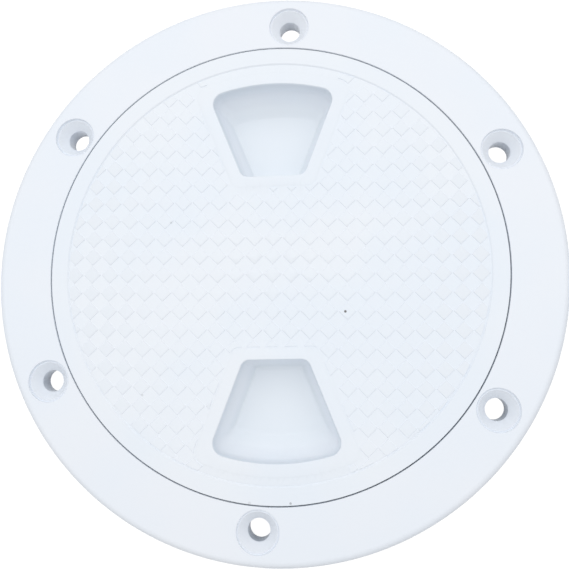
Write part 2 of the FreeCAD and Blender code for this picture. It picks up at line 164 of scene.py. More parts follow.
def seen_directly(graph):
    """1 for rays that show the background itself, 0 for rays that light the object."""
    rays = [
        graph.node("ShaderNodeLightPath", output=name)
        for name in ("Is Camera Ray", "Is Glossy Ray", "Is Transmission Ray")
    ]
    together = rays[0] + rays[1] + rays[2]
    return graph.node("ShaderNodeMath", {"operation": "MINIMUM"}, {0: together, 1: 1.0})


def floor_material():
    material = bpy.data.materials.new("white_floor")
    material.use_nodes = True
    graph = Graph(material.node_tree)
    plain = graph.node("ShaderNodeBsdfDiffuse", None, {"Color": FLOOR_FOR_LIGHT})
    glow = graph.node("ShaderNodeEmission", None, {"Color": WHITE, "Strength": GLOW_FOR_EYES})
    dim = graph.node("ShaderNodeBsdfDiffuse", None, {"Color": FLOOR_FOR_EYES})
    shown = graph.node("ShaderNodeAddShader", None, {0: glow, 1: dim})
    sockets = {0: seen_directly(graph), 1: plain, 2: shown}
    mix = graph.node("ShaderNodeMixShader", None, sockets)
    graph.node("ShaderNodeOutputMaterial", None, {"Surface": mix})
    return material


floor_mesh = bpy.data.meshes.new("floor")
r, z = FLOOR_REACH, FLOOR_HEIGHT
corners = [(-r, -r, z), (r, -r, z), (r, r, z), (-r, r, z)]
floor_mesh.from_pydata(corners, [], [(0, 1, 2, 3)])
floor_mesh.materials.append(floor_material())
floor = add_object("floor", floor_mesh)
print("floor at", FLOOR_HEIGHT)

# %% [markdown]
# The sky does the same: it is pure white where it is seen directly, and a little dimmer and
# bluer where it lights the object. The Standard view shows colours as they are.

# %% World
SKY = 0.7
SKY_TINT = (0.97, 0.985, 1, 1)
world = bpy.data.worlds.new("studio")
bpy.context.scene.world = world
world.use_nodes = True
graph = Graph(world.node_tree)
direct = seen_directly(graph)
sockets = {"Color": blend(graph, direct, SKY_TINT, WHITE), "Strength": SKY + (1.0 - SKY) * direct}
sky = graph.node("ShaderNodeBackground", None, sockets)
graph.node("ShaderNodeOutputWorld", None, {"Surface": sky})
bpy.context.scene.view_settings.view_transform = "Standard"
print("sky strength", SKY)

# %% [markdown]
# The floors of the finger recesses are as bright as the top, and their walls are darkest just
# below the rim. So the light is one very wide soft lamp almost straight above, and the sky
# gives the rest. The lamp leans towards the top edge of the picture, because the walls that
# face that way are brighter than those that face down the picture.

# %% Lamp
KEY_PLACE = (0.004, 0.262, 0.71)
KEY_SIZES = (1.85, 0.99)
KEY_WATTS = 3.2

key_data = bpy.data.lights.new("key", "AREA")
key_data.shape = "ELLIPSE"
key_data.size, key_data.size_y = KEY_SIZES
key_data.energy = KEY_WATTS
key = add_object("key", key_data)
key.location = KEY_PLACE
key.rotation_euler = (-Vector(KEY_PLACE)).to_track_quat("-Z", "Y").to_euler()
print("lamp", key.name, "at", KEY_PLACE, KEY_WATTS, "W")

# %% [markdown]
# ## White moulded plastic
# The ring and the cover are injection-moulded from the same white ABS: bluish white, satin,
# with a faint orange-peel surface and very slight cloudiness. Large soft noise moves the
# colour by a percent, medium noise the roughness, and fine noise feeds the bump. All of it
# reads Object coordinates, scaled to millimetres, so it stays on the piece as it turns.

# %% Places and spots in millimetres
TOP = 6.9
SCREWS = 6
SCREW_CIRCLE = 62.3
FIRST_SCREW = math.radians(26.64)
CLOUD_SCALE, GRAIN_SCALE, PEEL_SCALE = 0.035, 0.6, 1.6


def millimetres(graph):
    """Object coordinates, in millimetres."""
    place = graph.node("ShaderNodeTexCoord", output="Object")
    sockets = {"Vector": place, "Scale": (1000, 1000, 1000)}
    return graph.node("ShaderNodeMapping", {"vector_type": "POINT"}, sockets)


def masked(graph, place, axes):
    """A position with some of its axes set to zero."""
    sockets = {0: place, 1: axes}
    return graph.node("ShaderNodeVectorMath", {"operation": "MULTIPLY"}, sockets)


def length(graph, vector):
    sockets = {0: vector}
    return graph.node("ShaderNodeVectorMath", {"operation": "LENGTH"}, sockets, output="Value")


def speck(graph, place, centre, size):
    """A round spot with a soft edge about a point."""
    settings, sockets = {"operation": "DISTANCE"}, {0: place, 1: centre}
    gap = graph.node("ShaderNodeVectorMath", settings, sockets, output="Value")
    return 1.0 - ramp(graph, gap, size * 0.5, size)


def noise(graph, place, scale, detail=2.0, roughness=0.5):
    """Noise between 0 and 1, finer with a larger scale."""
    sockets = {"Vector": place, "Scale": scale, "Detail": detail, "Roughness": roughness}
    return graph.node("ShaderNodeTexNoise", None, sockets)


# %% [markdown]
# The photograph is not evenly white. Each difference is a tint, and a mask by height or by
# place says where it goes. On the cover the tops of the raised squares get painted shade
# towards the sides, the walls of the recesses a band of painted shade just below the rim, and
# their floors an even painted shade; a few dark specks are real dirt. On the ring the bores of
# the screw holes get painted shade.

# %% Painted shade and dark specks
# Painted shade: the tops of the raised squares darker towards the left and right sides.
SIDE_SHADE = (0.828, 0.866, 0.918, 1)
# Painted shade: a band on the recess walls just below the rim.
RIM_SHADE = (0.765, 0.812, 0.868, 1)
# Painted shade dimming the floors of the recesses.
FLOOR_SHADE = (0.82, 0.865, 0.912, 1)
DIRT = (0.09, 0.085, 0.08, 1)
# Painted shade in the bores of the screw holes.
BORE_SHADE_COLOUR = (0.43, 0.49, 0.57, 1)

# Between the two numbers of each pair a mask comes in or goes out.
SQUARE_TOPS = (TOP - 0.1, TOP - 0.03)
SQUARES_END = (51.5, 52.0)
SHADED_SIDES = (20.0, 52.0)
WALLS_BEGIN, WALLS_END = (2.4, 5.6), (6.2, 6.55)
FLOORS_END = (-2.0, 0.5)
BORES_BEGIN, BORES_END = (0.05, 0.4), (3.95, 4.25)
BORE_SPOT = 5.6

# The least amount of a tint, and how much more of it there is where the noise is 1.
RIM_SHADE_AMOUNT, RIM_SHADE_MORE = 0.8, 0.4
FLOOR_SHADE_AMOUNT, FLOOR_SHADE_MORE = 0.85, 0.3

# Centre, size and strength of each speck, and the strength of the painted shade in each bore.
SPECKS = [
    ((17.2, -11.3, 6.8), 0.42, 0.95),
    ((-4.5, 45.5, 2.0), 0.7, 0.12),
    ((-32.0, -31.2, 6.8), 0.38, 0.2),
    ((-26.0, 11.2, 6.8), 0.36, 0.22),
    ((4.0, -55.6, 6.9), 0.38, 0.45),
    ((-5.6, -55.7, 6.9), 0.5, 0.15),
]
BORE_SHADE_STRENGTHS = (0.36, 0.1, 0.12, 0.4, 1.0, 0.93)


def cover_marks_and_shade(graph, place, colour):
    """Painted shade on the squares towards the sides, below the recess rims and on the recess
    floors; and dark specks.
    """
    cloud = noise(graph, place, CLOUD_SCALE)
    height = graph.node("ShaderNodeSeparateXYZ", None, {0: place}, output=2)
    radius = length(graph, masked(graph, place, (1, 1, 0)))
    aside = length(graph, masked(graph, place, (1, 0, 0)))
    # Painted shade on the square tops towards the sides.
    side_shade = ramp(graph, height, *SQUARE_TOPS) * (1.0 - ramp(graph, radius, *SQUARES_END))
    colour = blend(graph, side_shade * ramp(graph, aside, *SHADED_SIDES), colour, SIDE_SHADE)
    # Painted shade on the recess walls below the rim.
    walls = ramp(graph, height, *WALLS_BEGIN) * (1.0 - ramp(graph, height, *WALLS_END))
    colour = blend(graph, walls * (RIM_SHADE_AMOUNT + RIM_SHADE_MORE * cloud), colour, RIM_SHADE)
    # Painted shade on the recess floors.
    floors = 1.0 - ramp(graph, height, *FLOORS_END)
    colour = blend(graph, floors * (FLOOR_SHADE_AMOUNT + FLOOR_SHADE_MORE * cloud), colour, FLOOR_SHADE)
    for centre, size, amount in SPECKS:
        colour = blend(graph, speck(graph, place, centre, size) * amount, colour, DIRT)
    return colour


def ring_bore_shade(graph, place, colour):
    """Painted shade on the walls of the six bores."""
    height = graph.node("ShaderNodeSeparateXYZ", None, {0: place}, output=2)
    flat = masked(graph, place, (1, 1, 0))
    deep = ramp(graph, height, *BORES_BEGIN) * (1.0 - ramp(graph, height, *BORES_END))
    for i, amount in enumerate(BORE_SHADE_STRENGTHS):
        angle = FIRST_SCREW + i * 2.0 * math.pi / SCREWS
        centre = (SCREW_CIRCLE * math.cos(angle), SCREW_CIRCLE * math.sin(angle), 0.0)
        spot = speck(graph, flat, centre, BORE_SPOT)
        # Painted shade in each bore.
        colour = blend(graph, deep * spot * amount, colour, BORE_SHADE_COLOUR)
    return colour


# %% [markdown]
# One function makes both white plastics: the two shades between which the clouds move, then
# the marks and painted shade of that piece. The bump is only a few hundredths of a millimetre
# deep.

# %% Plastic
RING_WHITES = ((0.865, 0.893, 0.942, 1), (0.845, 0.886, 0.946, 1))
COVER_WHITES = ((0.86, 0.893, 0.94, 1), (0.835, 0.883, 0.945, 1))
SATIN, LESS_SATIN = 0.36, 0.08
PEEL_BUMP = {"Strength": 0.12, "Distance": 0.00003}


def white_plastic(name, whites, tints):
    material = bpy.data.materials.new(name)
    material.use_nodes = True
    graph = Graph(material.node_tree)
    place = millimetres(graph)
    grain = noise(graph, place, GRAIN_SCALE, 3.0)
    peel = noise(graph, place, PEEL_SCALE, 2.0, 0.6)
    clouds = ramp(graph, noise(graph, place, CLOUD_SCALE), 0.35, 0.65)
    colour = blend(graph, clouds, *whites)
    bump = graph.node("ShaderNodeBump", None, {"Height": peel, **PEEL_BUMP})
    sockets = {
        "Base Color": tints(graph, place, colour),
        "Roughness": SATIN + LESS_SATIN * grain,
        "IOR": 1.52,
        "Normal": bump,
    }
    shader = graph.node("ShaderNodeBsdfPrincipled", None, sockets)
    graph.node("ShaderNodeOutputMaterial", None, {"Surface": shader})
    return material


ring_white = white_plastic("ring_white", RING_WHITES, ring_bore_shade)
cover_white = white_plastic("cover_white", COVER_WHITES, cover_marks_and_shade)
print("materials:", ring_white.name, cover_white.name)

# %% [markdown]
# The seal is black rubber, matt, with a little pale dust that also makes it rougher.

# %% Rubber
RUBBER = (0.022, 0.022, 0.023, 1)
DUSTY_RUBBER = (0.05, 0.05, 0.052, 1)
MATT, MORE_MATT = 0.62, 0.16
RUBBER_BUMP = {"Strength": 0.3, "Distance": 0.00005}


def black_rubber():
    material = bpy.data.materials.new("seal_black")
    material.use_nodes = True
    graph = Graph(material.node_tree)
    place = millimetres(graph)
    dust = ramp(graph, noise(graph, place, 0.25, 4.0, 0.6), 0.5, 0.75)
    colour = blend(graph, dust, RUBBER, DUSTY_RUBBER)
    sockets = {"Height": noise(graph, place, 2.5, 3.0), **RUBBER_BUMP}
    bump = graph.node("ShaderNodeBump", None, sockets)
    sockets = {"Base Color": colour, "Roughness": MATT + MORE_MATT * dust, "Normal": bump}
    shader = graph.node("ShaderNodeBsdfPrincipled", None, sockets)
    graph.node("ShaderNodeOutputMaterial", None, {"Surface": shader})
    return material


seal_black = black_rubber()
print("material:", seal_black.name)

# %% [markdown]
# ## Tools for turned and lofted shapes
# The plate is mostly round, so its main forms are outlines turned about the axis. An outline
# is a list of corners with a radius each, and `rounded` puts an arc in every corner: real
# mouldings have no sharp edges, and it is those arcs that catch the light. Everything is
# built in millimetres, and only the finished piece is brought to metres.

# %% Outlines
def rounded(corners, step=15.0):
    """Corners (x, y, radius) of a closed outline, with an arc of a few points at each."""
    points = []
    count = len(corners)
    for i, (x, y, radius) in enumerate(corners):
        here = np.array((x, y))
        back = np.array(corners[i - 1][:2]) - here
        ahead = np.array(corners[(i + 1) % count][:2]) - here
        back, ahead = back / np.linalg.norm(back), ahead / np.linalg.norm(ahead)
        opening = math.acos(float(np.clip(back @ ahead, -1, 1)))
        if radius <= 0 or opening > math.pi - 1e-6:
            points.append(tuple(here))
            continue
        reach = radius / math.tan(opening / 2)
        middle = (back + ahead) / np.linalg.norm(back + ahead)
        centre = here + middle * radius / math.sin(opening / 2)
        start, end = here + back * reach - centre, here + ahead * reach - centre
        turn = math.atan2(start[0] * end[1] - start[1] * end[0], start @ end)
        pieces = max(2, round(abs(math.degrees(turn)) / step))
        for k in range(pieces + 1):
            angle = turn * k / pieces
            c, s = math.cos(angle), math.sin(angle)
            x, y = c * start[0] - s * start[1], s * start[0] + c * start[1]
            points.append((centre[0] + x, centre[1] + y))
    return points


def arc(centre, radius, start, end, steps):
    """Points on an arc from one direction to another, both ends included."""
    turns = [start + (end - start) * k / steps for k in range(steps + 1)]
    return [(centre[0] + radius * math.cos(a), centre[1] + radius * math.sin(a)) for a in turns]


# %% [markdown]
# A lathe turns an outline about an axis, and a loft stretches a skin over a stack of rings.
# Both merge doubled points and turn every face outwards.

# %% Lathe and loft
SPIN = 288
DOUBLES = 1e-4


def face_outwards(mesh, merge=0.0):
    """Merge points closer than a distance, then turn the faces outwards."""
    shape = bmesh.new()
    shape.from_mesh(mesh)
    if merge:
        bmesh.ops.remove_doubles(shape, verts=shape.verts, dist=merge)
    bmesh.ops.recalc_face_normals(shape, faces=shape.faces)
    shape.to_mesh(mesh)
    shape.free()


def solid(name, vertices, faces):
    """An object with a closed mesh that faces outwards."""
    mesh = bpy.data.meshes.new(name)
    mesh.from_pydata([tuple(map(float, v)) for v in vertices], [], faces)
    face_outwards(mesh, DOUBLES)
    return add_object(name, mesh)


def lathe(name, outline, steps=SPIN, centre=(0.0, 0.0)):
    """An outline of (radius, height) points turned once round a vertical axis."""
    count = len(outline)
    vertices, faces = [], []
    for i in range(steps):
        c, s = math.cos(2 * math.pi * i / steps), math.sin(2 * math.pi * i / steps)
        vertices += [(centre[0] + r * c, centre[1] + r * s, z) for r, z in outline]
    for i in range(steps):
        a, b = i * count, (i + 1) % steps * count
        for j in range(count):
            k = (j + 1) % count
            if outline[j][0] < DOUBLES and outline[k][0] < DOUBLES:
                continue
            faces.append((a + j, a + k, b + k, b + j))
    return solid(name, vertices, faces)


def loft(name, rings):
    """A skin over rings of points, capped at both ends."""
    count = len(rings[0])
    vertices = [point for ring in rings for point in ring]
    faces = []
    for a in range(0, len(vertices) - count, count):
        b = a + count
        faces += [(a + j, a + (j + 1) % count, b + (j + 1) % count, b + j) for j in range(count)]
    faces.append(tuple(range(count)))
    faces.append(tuple(range(len(vertices) - count, len(vertices))))
    return solid(name, vertices, faces)


print("lathe with", SPIN, "steps")

# %% [markdown]
# ## Geometry Nodes for what repeats
# Screw holes, bosses, ribs, recesses and thread starts all repeat evenly round the axis.
# One tree does them all: a few points at the axis, an instance of the shape on each, every
# instance turned a step further. The tree ends in Realize Instances and Set Material, and
# the result is copied out as a plain mesh.

# %% Trees that repeat
def geometry_tree(name, inputs):
    """A tree with a geometry input and output, and named inputs for its sizes."""
    tree = bpy.data.node_groups.new(name, "GeometryNodeTree")
    graph = Graph(tree)
    tree.interface.new_socket("Geometry", in_out="OUTPUT", socket_type="NodeSocketGeometry")
    for label, kind in {"Geometry": "Geometry", **inputs}.items():
        tree.interface.new_socket(label, in_out="INPUT", socket_type=f"NodeSocket{kind}")
    entry = tree.nodes.new("NodeGroupInput")
    return graph, {socket.name: Wire(graph, socket) for socket in entry.outputs if socket.name}


def leave(graph, geometry, material):
    """What ends every tree here: real copies, their material, and the output."""
    real = graph.node("GeometryNodeRealizeInstances", None, {"Geometry": geometry})
    dressed = graph.node("GeometryNodeSetMaterial", None, {"Geometry": real, "Material": material})
    graph.node("NodeGroupOutput", None, {"Geometry": dressed})
    return graph.tree


def plain_copy(name, source):
    """The evaluated shape of an object as a new object with a plain mesh."""
    bpy.context.view_layer.update()
    depsgraph = bpy.context.evaluated_depsgraph_get()
    mesh = bpy.data.meshes.new_from_object(source.evaluated_get(depsgraph), depsgraph=depsgraph)
    mesh.name = name
    made = add_object(name, mesh)
    bpy.data.objects.remove(source)
    return made


def grow(source, tree, **values):
    """Run a tree on an object and keep the result."""
    name = source.name
    source.name = f"{name}_seed"
    modifier = source.modifiers.new("nodes", "NODES")
    modifier.node_group = tree
    for item in tree.interface.items_tree:
        if item.in_out == "INPUT" and item.name in values:
            modifier[item.identifier] = values[item.name]
    made = plain_copy(name, source)
    print(f"{name}: {len(made.data.polygons)} faces")
    return made


def round_the_axis(graph, shape, count, first=0.0):
    """Instances of a shape, each turned a step further about the axis."""
    index = graph.node("GeometryNodeInputIndex")
    turn = graph.node("ShaderNodeCombineXYZ", None, {"Z": first + index * (2 * math.pi) / count})
    points = graph.node("GeometryNodePoints", None, {"Count": count})
    sockets = {"Points": points, "Instance": shape, "Rotation": turn}
    return graph.node("GeometryNodeInstanceOnPoints", None, sockets)


sizes = {"Count": "Int", "First": "Float", "Material": "Material"}
graph, inputs = geometry_tree("round_the_axis", sizes)
copies = round_the_axis(graph, inputs["Geometry"], inputs["Count"], inputs["First"])
ROUND_THE_AXIS = leave(graph, copies, inputs["Material"])


def repeated(shape, count, material, first=0.0):
    return grow(shape, ROUND_THE_AXIS, Count=count, First=float(first), Material=material)


# %% [markdown]
# Cutting and joining is left to Boolean modifiers with the Manifold solver, which is fast and
# keeps closed solids closed. A finished piece gets smooth shading with sharp edges where two
# faces meet at more than an angle, and weighted normals keep the big flat faces flat.

# %% Cut, join and finish
SHARP_ANGLE = math.radians(32.0)


def carve(body, steps):
    """Apply joins and cuts in order. The tools are used up."""
    name = body.name
    body.name = f"{name}_rough"
    for operation, tool in steps:
        modifier = body.modifiers.new(tool.name, "BOOLEAN")
        modifier.operation = operation
        modifier.solver = "MANIFOLD"
        modifier.object = tool
    made = plain_copy(name, body)
    for _, tool in steps:
        bpy.data.objects.remove(tool)
    shape = bmesh.new()
    shape.from_mesh(made.data)
    open_edges = sum(not edge.is_manifold for edge in shape.edges)
    shape.free()
    print(f"{name}: {len(made.data.polygons)} faces, {open_edges} open edges")
    return made


def finish_piece(piece, material, body, node):
    """Metres, shading and material; then it rides on its body in place of the CAD node."""
    mesh = piece.data
    mesh.transform(Matrix.Scale(0.001, 4))
    mesh.materials.clear()
    mesh.materials.append(material)
    mesh.shade_smooth()
    mesh.set_sharp_from_angle(angle=SHARP_ANGLE)
    weighted = piece.modifiers.new("weighted", "WEIGHTED_NORMAL")
    weighted.keep_sharp = True
    weighted.weight = 100
    name = piece.name
    piece.name = f"{name}_draft"
    made = plain_copy(name, piece)
    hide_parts(node)
    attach(made, body)
    made.data.calc_loop_triangles()
    print(f"{name}: {len(made.data.loop_triangles)} triangles")
    return made


# %% [markdown]
# ## Screw threads
# The cover's skirt and the ring's collar carry coarse threads with two starts and a lead of
# 8 mm. A thread is a section swept along a spiral. The section comes in as the tree's
# geometry, a Spiral curve is the path, and a scale along it shrinks the section towards both
# ends, as the run-outs of a moulded thread do.

# %% Thread tree
sizes = {name: "Float" for name in ("Radius", "Lead", "Turns", "Bottom")}
sizes.update({"Steps": "Int", "Starts": "Int", "Material": "Material"})
graph, inputs = geometry_tree("thread", sizes)
path = graph.node(
    "GeometryNodeCurveSpiral",
    None,
    {
        "Resolution": inputs["Steps"],
        "Rotations": inputs["Turns"],
        "Start Radius": inputs["Radius"],
        "End Radius": inputs["Radius"],
        "Height": inputs["Lead"] * inputs["Turns"],
    },
)
lift = graph.node("ShaderNodeCombineXYZ", None, {"Z": inputs["Bottom"]})
path = graph.node("GeometryNodeSetPosition", None, {"Geometry": path, "Offset": lift})
path = graph.node("GeometryNodeSetCurveNormal", {"mode": "Z_UP"}, {0: path})
along = graph.node("GeometryNodeSplineParameter")
near_end = graph.node("ShaderNodeMath", {"operation": "MINIMUM"}, {0: along, 1: 1.0 - along})
run_out = graph.node(
    "ShaderNodeMapRange",
    {"interpolation_type": "SMOOTHSTEP"},
    {"Value": near_end, "From Max": 0.05, "To Min": 0.2, "To Max": 1.0},
)
section = graph.node("GeometryNodeMeshToCurve", None, {"Mesh": inputs["Geometry"]})
sockets = {"Curve": path, "Profile Curve": section, "Scale": run_out, "Fill Caps": True}
sweep = graph.node("GeometryNodeCurveToMesh", None, sockets)
copies = round_the_axis(graph, sweep, inputs["Starts"])
THREAD = leave(graph, copies, inputs["Material"])


# %% [markdown]
# The section's root is sunk a little into the wall that carries the thread. The sweep points
# the section's X at the axis, so a thread that stands outwards has it mirrored.

# %% Both starts of a thread
LEAD = 8.0
STARTS = 2
THREAD_STEPS = 96
THREAD_SECTION = [(-0.3, -0.9, 0.0), (1.8, -0.5, 0.22), (1.8, 0.5, 0.22), (-0.3, 0.9, 0.0)]


def thread(name, root_radius, outwards, bottom, turns, material):
    """All starts of a thread on a wall of some radius, from its lower end up."""
    side = -1.0 if outwards else 1.0
    outline = [(side * x, y, 0) for x, y in rounded(THREAD_SECTION)]
    edges = [(k, (k + 1) % len(outline)) for k in range(len(outline))]
    section = bpy.data.meshes.new(name)
    section.from_pydata(outline, edges, [])
    made = grow(
        add_object(name, section),
        THREAD,
        Radius=root_radius,
        Lead=LEAD,
        Turns=turns,
        Bottom=bottom,
        Steps=THREAD_STEPS,
        Starts=STARTS,
        Material=material,
    )
    face_outwards(made.data)
    return made


# %% [markdown]
# ## The deck ring
# The ring is one moulding: a flat flange that lies on the deck, a ledge for the seal, and a
# collar that hangs through the deck. Its outline is turned on the lathe. The flange's outer
# top edge has a true round of 1.9 mm, where the solid has a chamfer, and stands out 0.4 mm
# further, because the round would otherwise make the flange look smaller from above.

# %% Ring blank
FLANGE_RADIUS = 70.4
SEAT_RADIUS = 56.6
COLLAR_INNER, COLLAR_OUTER = 53.3, 55.8
COLLAR_END = -18.0
LEDGE = 2.1
RING_OUTLINE = [
    (COLLAR_OUTER, 0.0, 0.5),
    (FLANGE_RADIUS, 0.0, 0.25),
    (FLANGE_RADIUS, TOP, 1.9),
    (SEAT_RADIUS, TOP, 0.15),
    (SEAT_RADIUS, LEDGE, 0.25),
    (COLLAR_INNER, LEDGE, 0.3),
    (COLLAR_INNER, COLLAR_END, 0.4),
    (COLLAR_OUTER, COLLAR_END, 0.8),
]
ring = lathe("deck_ring_moulding", rounded(RING_OUTLINE))
print("ring blank:", len(ring.data.polygons), "faces")

# %% [markdown]
# Underneath, the flange is cored out to one even wall, as every thick moulding is, or it
# would sink as it cools. The hollow is a turned cutter from which the screw bosses and the
# ribs have been taken away, so they are left standing in the ring.

# %% Hollow under the flange
HOLLOW = [(58.0, -1.0, 0.0), (67.3, -1.0, 0.0), (67.15, 3.6, 0.6), (58.15, 3.6, 0.6)]
BOSS = [(0, -2.0), (5.95, -2.0), (6.1, 5.0), (0, 5.0)]
RING_RIB = ((57.0, -1.05, -2.0), (68.0, 1.05, 5.0))
SCREW_AXIS = (SCREW_CIRCLE, 0.0)


def box_loft(name, low, high, taper):
    """A bar along X from low to high, its sides drawn in downwards by the taper."""
    (x0, y0, z0), (x1, y1, z1) = low, high
    rings = []
    for inset, z in ((taper, z0), (0.0, z1)):
        a, b, c, d = x0 + inset, x1 - inset, y0 + inset, y1 - inset
        rings.append([(a, c, z), (b, c, z), (b, d, z), (a, d, z)])
    return loft(name, rings)


boss = lathe("boss", BOSS, 64, SCREW_AXIS)
bosses = repeated(boss, SCREWS, ring_white, FIRST_SCREW)
rib = box_loft("rib", *RING_RIB, 0.1)
ribs = repeated(rib, SCREWS, ring_white, FIRST_SCREW + math.pi / SCREWS)
hollow = carve(lathe("hollow", rounded(HOLLOW)), [("DIFFERENCE", bosses), ("DIFFERENCE", ribs)])

# %% [markdown]
# The screw holes are cut with a turned cutter too: a clearance hole, an 82 degree
# countersink, and at the top a short straight step with a fine groove at its foot, which the
# photograph shows as a thin dark line round each countersink. The collar's thread is joined
# on in the same go.

# %% Screw holes
HOLE = [
    (0.0, -1.0, 0.0),
    (2.85, -1.0, 0.0),
    (2.65, 0.2, 0.1),
    (2.65, 4.12, 0.12),
    (4.6, 6.35, 0.05),
    (5.04, 6.15, 0.04),
    (5.08, 6.84, 0.05),
    (5.6, 7.36, 0.0),
    (5.6, 8.0, 0.0),
    (0.0, 8.0, 0.0),
]
hole = lathe("screw_hole", rounded(HOLE), 72, SCREW_AXIS)
holes = repeated(hole, SCREWS, ring_white, FIRST_SCREW)
collar_thread = thread(
    "collar_thread", COLLAR_INNER, outwards=False, bottom=-12.7, turns=1.25, material=ring_white
)
steps = [("DIFFERENCE", hollow), ("UNION", collar_thread), ("DIFFERENCE", holes)]
ring = carve(ring, steps)
ring = finish_piece(ring, ring_white, "ring", "deck_ring")

# %% [markdown]
# ## Finger recesses
# Two deep recesses let the fingers turn the cover. Each is a fan: a straight edge towards
# the middle, two spreading sides, and an arc that follows the rim. One function gives that
# outline with each wall drawn in by its own distance, always with the same number of points,
# so a stack of outlines becomes the walls.

# %% Fan outline
SIDE_ANGLE = math.radians(21.5)
EDGE_STEPS, INNER_STEPS, SIDE_STEPS, OUTER_STEPS, RIM_STEPS = 5, 8, 8, 10, 10


def fan_outline(insets, fan, corners):
    """Points round a recess; its sides, straight edge and arc each have an inset."""
    sides, straight, curved = insets
    inner, half_width, outer = fan
    inner_corner, outer_corner = corners
    slope, c, s = math.tan(SIDE_ANGLE), math.cos(SIDE_ANGLE), math.sin(SIDE_ANGLE)
    edge, rim = inner + straight, outer - curved
    width = half_width + straight * slope - sides / c
    y1 = edge + inner_corner
    x1 = width + slope * inner_corner - inner_corner / c
    p, q = width - outer_corner * c, edge + outer_corner * s
    dot, size = p * s + q * c, p * p + q * q - (rim - outer_corner) ** 2
    reach = -dot + math.sqrt(dot * dot - size)
    x2, y2 = p + reach * s, q + reach * c
    turn = math.atan2(x2, y2)
    half = [(x1 * k / EDGE_STEPS, edge) for k in range(EDGE_STEPS)]
    half += arc((x1, y1), inner_corner, -math.pi / 2, -SIDE_ANGLE, INNER_STEPS)
    (xa, ya), (xb, yb) = half[-1], (x2 + outer_corner * c, y2 - outer_corner * s)
    parts = [k / SIDE_STEPS for k in range(1, SIDE_STEPS)]
    half += [(xa + (xb - xa) * part, ya + (yb - ya) * part) for part in parts]
    half += arc((x2, y2), outer_corner, -SIDE_ANGLE, math.pi / 2 - turn, OUTER_STEPS)
    half += arc((0.0, 0.0), rim, math.pi / 2 - turn, math.pi / 2, RIM_STEPS)[1:]
    return half + [(-x, y) for x, y in half[-2:0:-1]]


# %% [markdown]
# Each wall of a recess is a short outline too, from the rim down to the floor: a steep part,
# a slope, and a round at its foot. The curved wall, which the fingers pull on, is steep for
# its upper half and then runs out in a long slope to the floor. The levels lie closest at
# the rim and at the floor, where the walls bend.

# %% Recess walls
# Straight edge, half its width and the arc's radius; then the corners at both of them.
RECESS = (22.7, 7.8, 46.9)
CORNERS = (2.4, 3.2)
SMALLEST_CORNER = 0.8
CORNER_LOSS = 0.15
DEPTH = 9.2
RIM_ROUND = 0.25
RIM_FLARE = 0.8
RIM_DEPTHS = [0.0, 0.03, 0.08, 0.15, 0.25]
WALL_DEPTHS = [float(depth) for depth in np.linspace(0.6, DEPTH - 2.4, 10)]
FOOT_HEIGHTS = [1.9, 1.5, 1.15, 0.85, 0.6, 0.4, 0.25, 0.13, 0.05, 0.01, 0.0]
WALLS = {
    "sides": [(0.05, 1.2, 3.0), (0.9, 5.6, 4.0), (2.6, DEPTH, 0.8)],
    "straight": [(0.05, 3.0, 3.0), (1.7, DEPTH, 1.5)],
    "curved": [(0.1, 5.0, 2.0), (2.2, 7.4, 4.0), (5.5, DEPTH, 1.4)],
}


def wall_profile(corners):
    """Depths and insets along a wall from its rounded corners (inset, depth, radius)."""
    path = rounded([(0.0, 0.0, 0.0), *corners, (12.0, DEPTH, 0.0)], 5.0)[:-1]
    return [depth for inset, depth in path], [inset for inset, depth in path]


PROFILES = [wall_profile(corners) for corners in WALLS.values()]


def insets_at(depth):
    """How far each of the three walls lies inside the rim at a depth."""
    lip = 0.0
    if depth < RIM_ROUND:
        lip = RIM_FLARE * (RIM_ROUND - math.sqrt(RIM_ROUND**2 - (RIM_ROUND - depth) ** 2))
    return [float(np.interp(depth, *profile)) - lip for profile in PROFILES]


def fan_loft(name, levels, fan, corners, corner_loss=0.0):
    """A solid through levels of (height, insets); its corners tighten on the way down."""
    top = levels[0][0]
    rings = []
    for height, insets in levels:
        loss = corner_loss * (top - height)
        radii = [max(corner - loss, SMALLEST_CORNER) for corner in corners]
        rings.append([(x, y, height) for x, y in fan_outline(insets, fan, radii)])
    return loft(name, rings)


depths = RIM_DEPTHS + WALL_DEPTHS + [DEPTH - height for height in FOOT_HEIGHTS]
levels = [(TOP + 0.5, insets_at(0.0))] + [(TOP - d, insets_at(d)) for d in depths]
recess = fan_loft("recess", levels, RECESS, CORNERS, CORNER_LOSS)
recesses = repeated(recess, 2, cover_white)
print("recess depth", DEPTH, "levels", len(levels))

# %% [markdown]
# Below the cover's top each recess is closed by a cup of even wall. Its curved side starts in
# the skirt and leaves it on the way down, so no thin gap is left between them.

# %% Cups
CUP_WALL = 2.0
CUP_WIDER = CUP_WALL * (1 / math.cos(SIDE_ANGLE) - math.tan(SIDE_ANGLE))
CUP = (RECESS[0] - CUP_WALL, RECESS[1] + CUP_WIDER, 50.0)
CUP_CORNERS = (4.0, 4.0)
CUP_SLOPES = [math.tan(math.radians(angle)) for angle in (8.0, 8.0, 30.0)]
# Height over the cup's bottom, and how far its broken lower edge is drawn in there.
CUP_FOOT = ((1.0, 0.0), (0.3, 0.3), (0.0, 1.0))

cup_top, cup_bottom = TOP - 0.5, TOP - DEPTH - CUP_WALL
levels = [(cup_top, (0.0, 0.0, 0.0))]
for over, extra in CUP_FOOT:
    drop = cup_top - cup_bottom - over
    levels.append((cup_top - drop, [slope * drop + extra for slope in CUP_SLOPES]))
cup = fan_loft("cup", levels, CUP, CUP_CORNERS)
cups = repeated(cup, 2, cover_white)

# %% [markdown]
# ## The tread
# The cover's top is a chequered relief: squares that stand on a corner rise from a sunk
# ground and are level with the plain rim. A grid of points carries one small frustum each,
# whose slanted sides give every square a bright or a dark edge. These pads are taken away
# from a thin disc, and what is left of the disc then sinks the ground between the squares.

